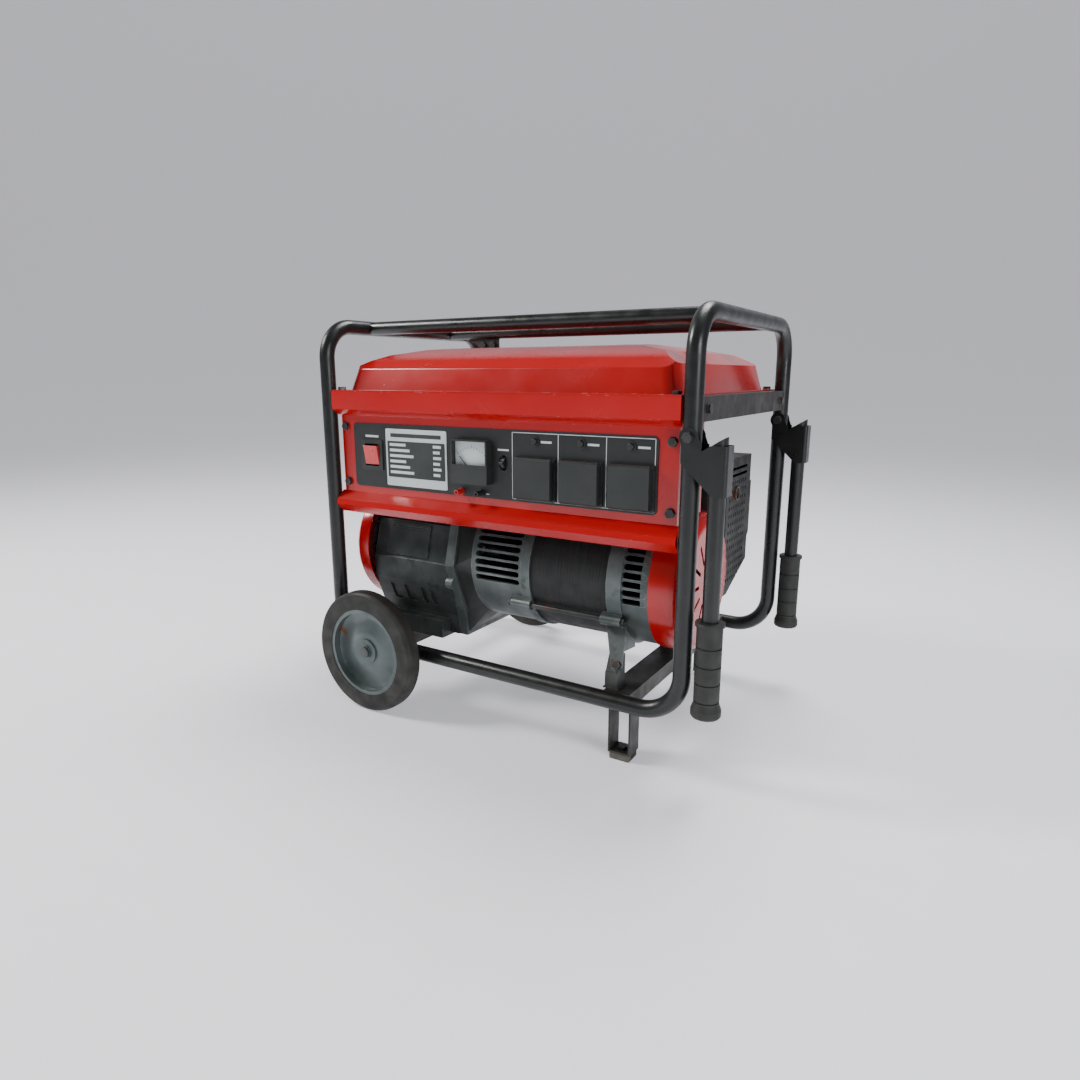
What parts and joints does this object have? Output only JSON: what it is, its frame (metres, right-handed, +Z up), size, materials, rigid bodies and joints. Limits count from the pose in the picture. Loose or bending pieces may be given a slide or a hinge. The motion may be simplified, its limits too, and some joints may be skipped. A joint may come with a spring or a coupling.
{
  "type": "portable engine driven generator set",
  "caption": "Open-frame engine and alternator set on two wheels, with a fuel tank on top, a control panel with lidded outlets, and swing-down carrying handles.",
  "frame": {"origin": "on the ground, under the middle of the overall box", "axes": "+X along the frame from the wheels towards the carrying handles, +Y from the control panel to the rear, +Z up"},
  "size_m": [0.801, 0.6086, 0.7359],
  "materials": {
    "frame_paint": "satin",
    "bracket_paint": "satin",
    "bolt_steel": "black oxide",
    "red_paint": "gloss",
    "tyre_rubber": "matte",
    "grip_rubber": "matte",
    "foot_rubber": "matte",
    "mount_rubber": "matte",
    "wheel_steel": "worn",
    "shaft_steel": "ground",
    "engine_casting": "worn",
    "bell_casting": "worn",
    "housing_black": "satin",
    "winding_core": "matte",
    "panel_black": "matte",
    "device_black": "matte",
    "rocker_red": "gloss",
    "post_plastic": "gloss",
    "needle_black": "matte",
    "filter_plastic": "matte",
    "muffler_steel": "heat stained",
    "guard_black": "satin"
  },
  "bodies": {
    "machine": {"frame_hoop_left": "frame_paint", "frame_hoop_right": "frame_paint", "top_tube_front": "frame_paint", "top_tube_rear": "frame_paint", "tank_rail_left": "bracket_paint", "tank_rail_right": "bracket_paint", "cross_beam_left": "bracket_paint", "cross_beam_right": "bracket_paint", "axle": "shaft_steel", "lift_plate": "bracket_paint", "foot_brackets": "bracket_paint", "foot_pads": "foot_rubber", "hex_bolts": "bolt_steel", "handle_pivots": "bolt_steel", "fuel_tank": "red_paint", "panel_housing": "red_paint", "panel_plate": "panel_black", "voltmeter": "device_black", "switch_bodies": "device_black", "outlet_sockets": "device_black", "terminal_posts": "post_plastic", "recoil_cover": "red_paint", "crankcase": "engine_casting", "side_cover": "bell_casting", "cylinder": "engine_casting", "head_cover": "engine_casting", "bearings": "shaft_steel", "air_cleaner": "filter_plastic", "muffler": "muffler_steel", "muffler_guard": "guard_black", "fan_housing": "housing_black", "front_bell": "bell_casting", "stator": "winding_core", "rear_bell": "bell_casting", "end_cover": "red_paint", "through_rods": "bolt_steel", "alternator_foot": "bell_casting", "rubber_mounts": "mount_rubber"},
    "wheel_front": {"tyre_front": "tyre_rubber", "rim_front": "wheel_steel"},
    "wheel_back": {"tyre_back": "tyre_rubber", "rim_back": "wheel_steel"},
    "handle_front_arm": {"handle_front": "frame_paint", "grip_front": "grip_rubber"},
    "handle_back_arm": {"handle_back": "frame_paint", "grip_back": "grip_rubber"},
    "lid_1": {"outlet_lid_1": "device_black"},
    "lid_2": {"outlet_lid_2": "device_black"},
    "lid_3": {"outlet_lid_3": "device_black"},
    "button_1": {"reset_button_1": "device_black"},
    "button_2": {"reset_button_2": "device_black"},
    "button_3": {"reset_button_3": "device_black"},
    "rocker": {"switch_rocker": "rocker_red"},
    "breaker": {"breaker_lever": "device_black"},
    "needle": {"voltmeter_needle": "needle_black"},
    "cap": {"fuel_cap": "filter_plastic"},
    "tap_lever": {"fuel_tap_lever": "device_black"},
    "recoil_handle": {"recoil_grip": "device_black"},
    "engine_shaft": {"crankshaft": "shaft_steel", "rotor": "winding_core"}
  },
  "joints": [
    {"name": "wheel_front_spin", "type": "hinge", "parent": "machine", "child": "wheel_front", "pos_m": [-0.2712, -0.28865, 0.1173], "axis": [0, -1, 0], "continuous": true},
    {"name": "wheel_back_spin", "type": "hinge", "parent": "machine", "child": "wheel_back", "pos_m": [-0.2712, 0.28865, 0.1173], "axis": [0, 1, 0], "continuous": true},
    {"name": "handle_front_swing", "type": "hinge", "parent": "machine", "child": "handle_front_arm", "pos_m": [0.3375, -0.2427, 0.546], "axis": [0, -1, 0], "range_deg": [0, 70]},
    {"name": "handle_back_swing", "type": "hinge", "parent": "machine", "child": "handle_back_arm", "pos_m": [0.3375, 0.2427, 0.546], "axis": [0, -1, 0], "range_deg": [0, 70]},
    {"name": "lid_1_open", "type": "hinge", "parent": "machine", "child": "lid_1", "pos_m": [0.0721, -0.2415, 0.4968], "axis": [-1, 0, 0], "range_deg": [0, 92], "stiffness_Nm_per_rad": 0.04, "springref_deg": -28.65},
    {"name": "lid_2_open", "type": "hinge", "parent": "machine", "child": "lid_2", "pos_m": [0.1563, -0.2415, 0.4968], "axis": [-1, 0, 0], "range_deg": [0, 92], "stiffness_Nm_per_rad": 0.04, "springref_deg": -28.65},
    {"name": "lid_3_open", "type": "hinge", "parent": "machine", "child": "lid_3", "pos_m": [0.2425, -0.2415, 0.4968], "axis": [-1, 0, 0], "range_deg": [0, 92], "stiffness_Nm_per_rad": 0.04, "springref_deg": -28.65},
    {"name": "button_1_press", "type": "slide", "parent": "machine", "child": "button_1", "axis": [0, 1, 0], "range_m": [0, 0.003], "stiffness_N_per_m": 500, "springref_m": -0.002},
    {"name": "button_2_press", "type": "slide", "parent": "machine", "child": "button_2", "axis": [0, 1, 0], "range_m": [0, 0.003], "stiffness_N_per_m": 500, "springref_m": -0.002},
    {"name": "button_3_press", "type": "slide", "parent": "machine", "child": "button_3", "axis": [0, 1, 0], "range_m": [0, 0.003], "stiffness_N_per_m": 500, "springref_m": -0.002},
    {"name": "switch_rock", "type": "hinge", "parent": "machine", "child": "rocker", "pos_m": [-0.2875, -0.2345, 0.4855], "axis": [-1, 0, 0], "range_deg": [0, 19]},
    {"name": "breaker_rock", "type": "hinge", "parent": "machine", "child": "breaker", "pos_m": [0.0085, -0.23, 0.488], "axis": [-1, 0, 0], "range_deg": [0, 24]},
    {"name": "needle_swing", "type": "hinge", "parent": "machine", "child": "needle", "pos_m": [-0.0533, -0.2445, 0.472], "axis": [0, 1, 0], "range_deg": [0, 90], "stiffness_Nm_per_rad": 0.0005, "springref_deg": -17.19},
    {"name": "cap_turn", "type": "hinge", "parent": "machine", "child": "cap", "pos_m": [0.0955, 0.06, 0.676], "axis": [0, 0, 1], "range_deg": [0, 90]},
    {"name": "tap_turn", "type": "hinge", "parent": "machine", "child": "tap_lever", "pos_m": [-0.1445, -0.0518, 0.581], "axis": [0, 1, 0], "range_deg": [0, 90]},
    {"name": "recoil_pull", "type": "slide", "parent": "machine", "child": "recoil_handle", "axis": [-1, 0, 0], "range_m": [0, 0.6], "stiffness_N_per_m": 25, "springref_m": -0.1},
    {"name": "engine_spin", "type": "hinge", "parent": "machine", "child": "engine_shaft", "pos_m": [0, -0.095, 0.294], "axis": [1, 0, 0], "continuous": true}
  ]
}
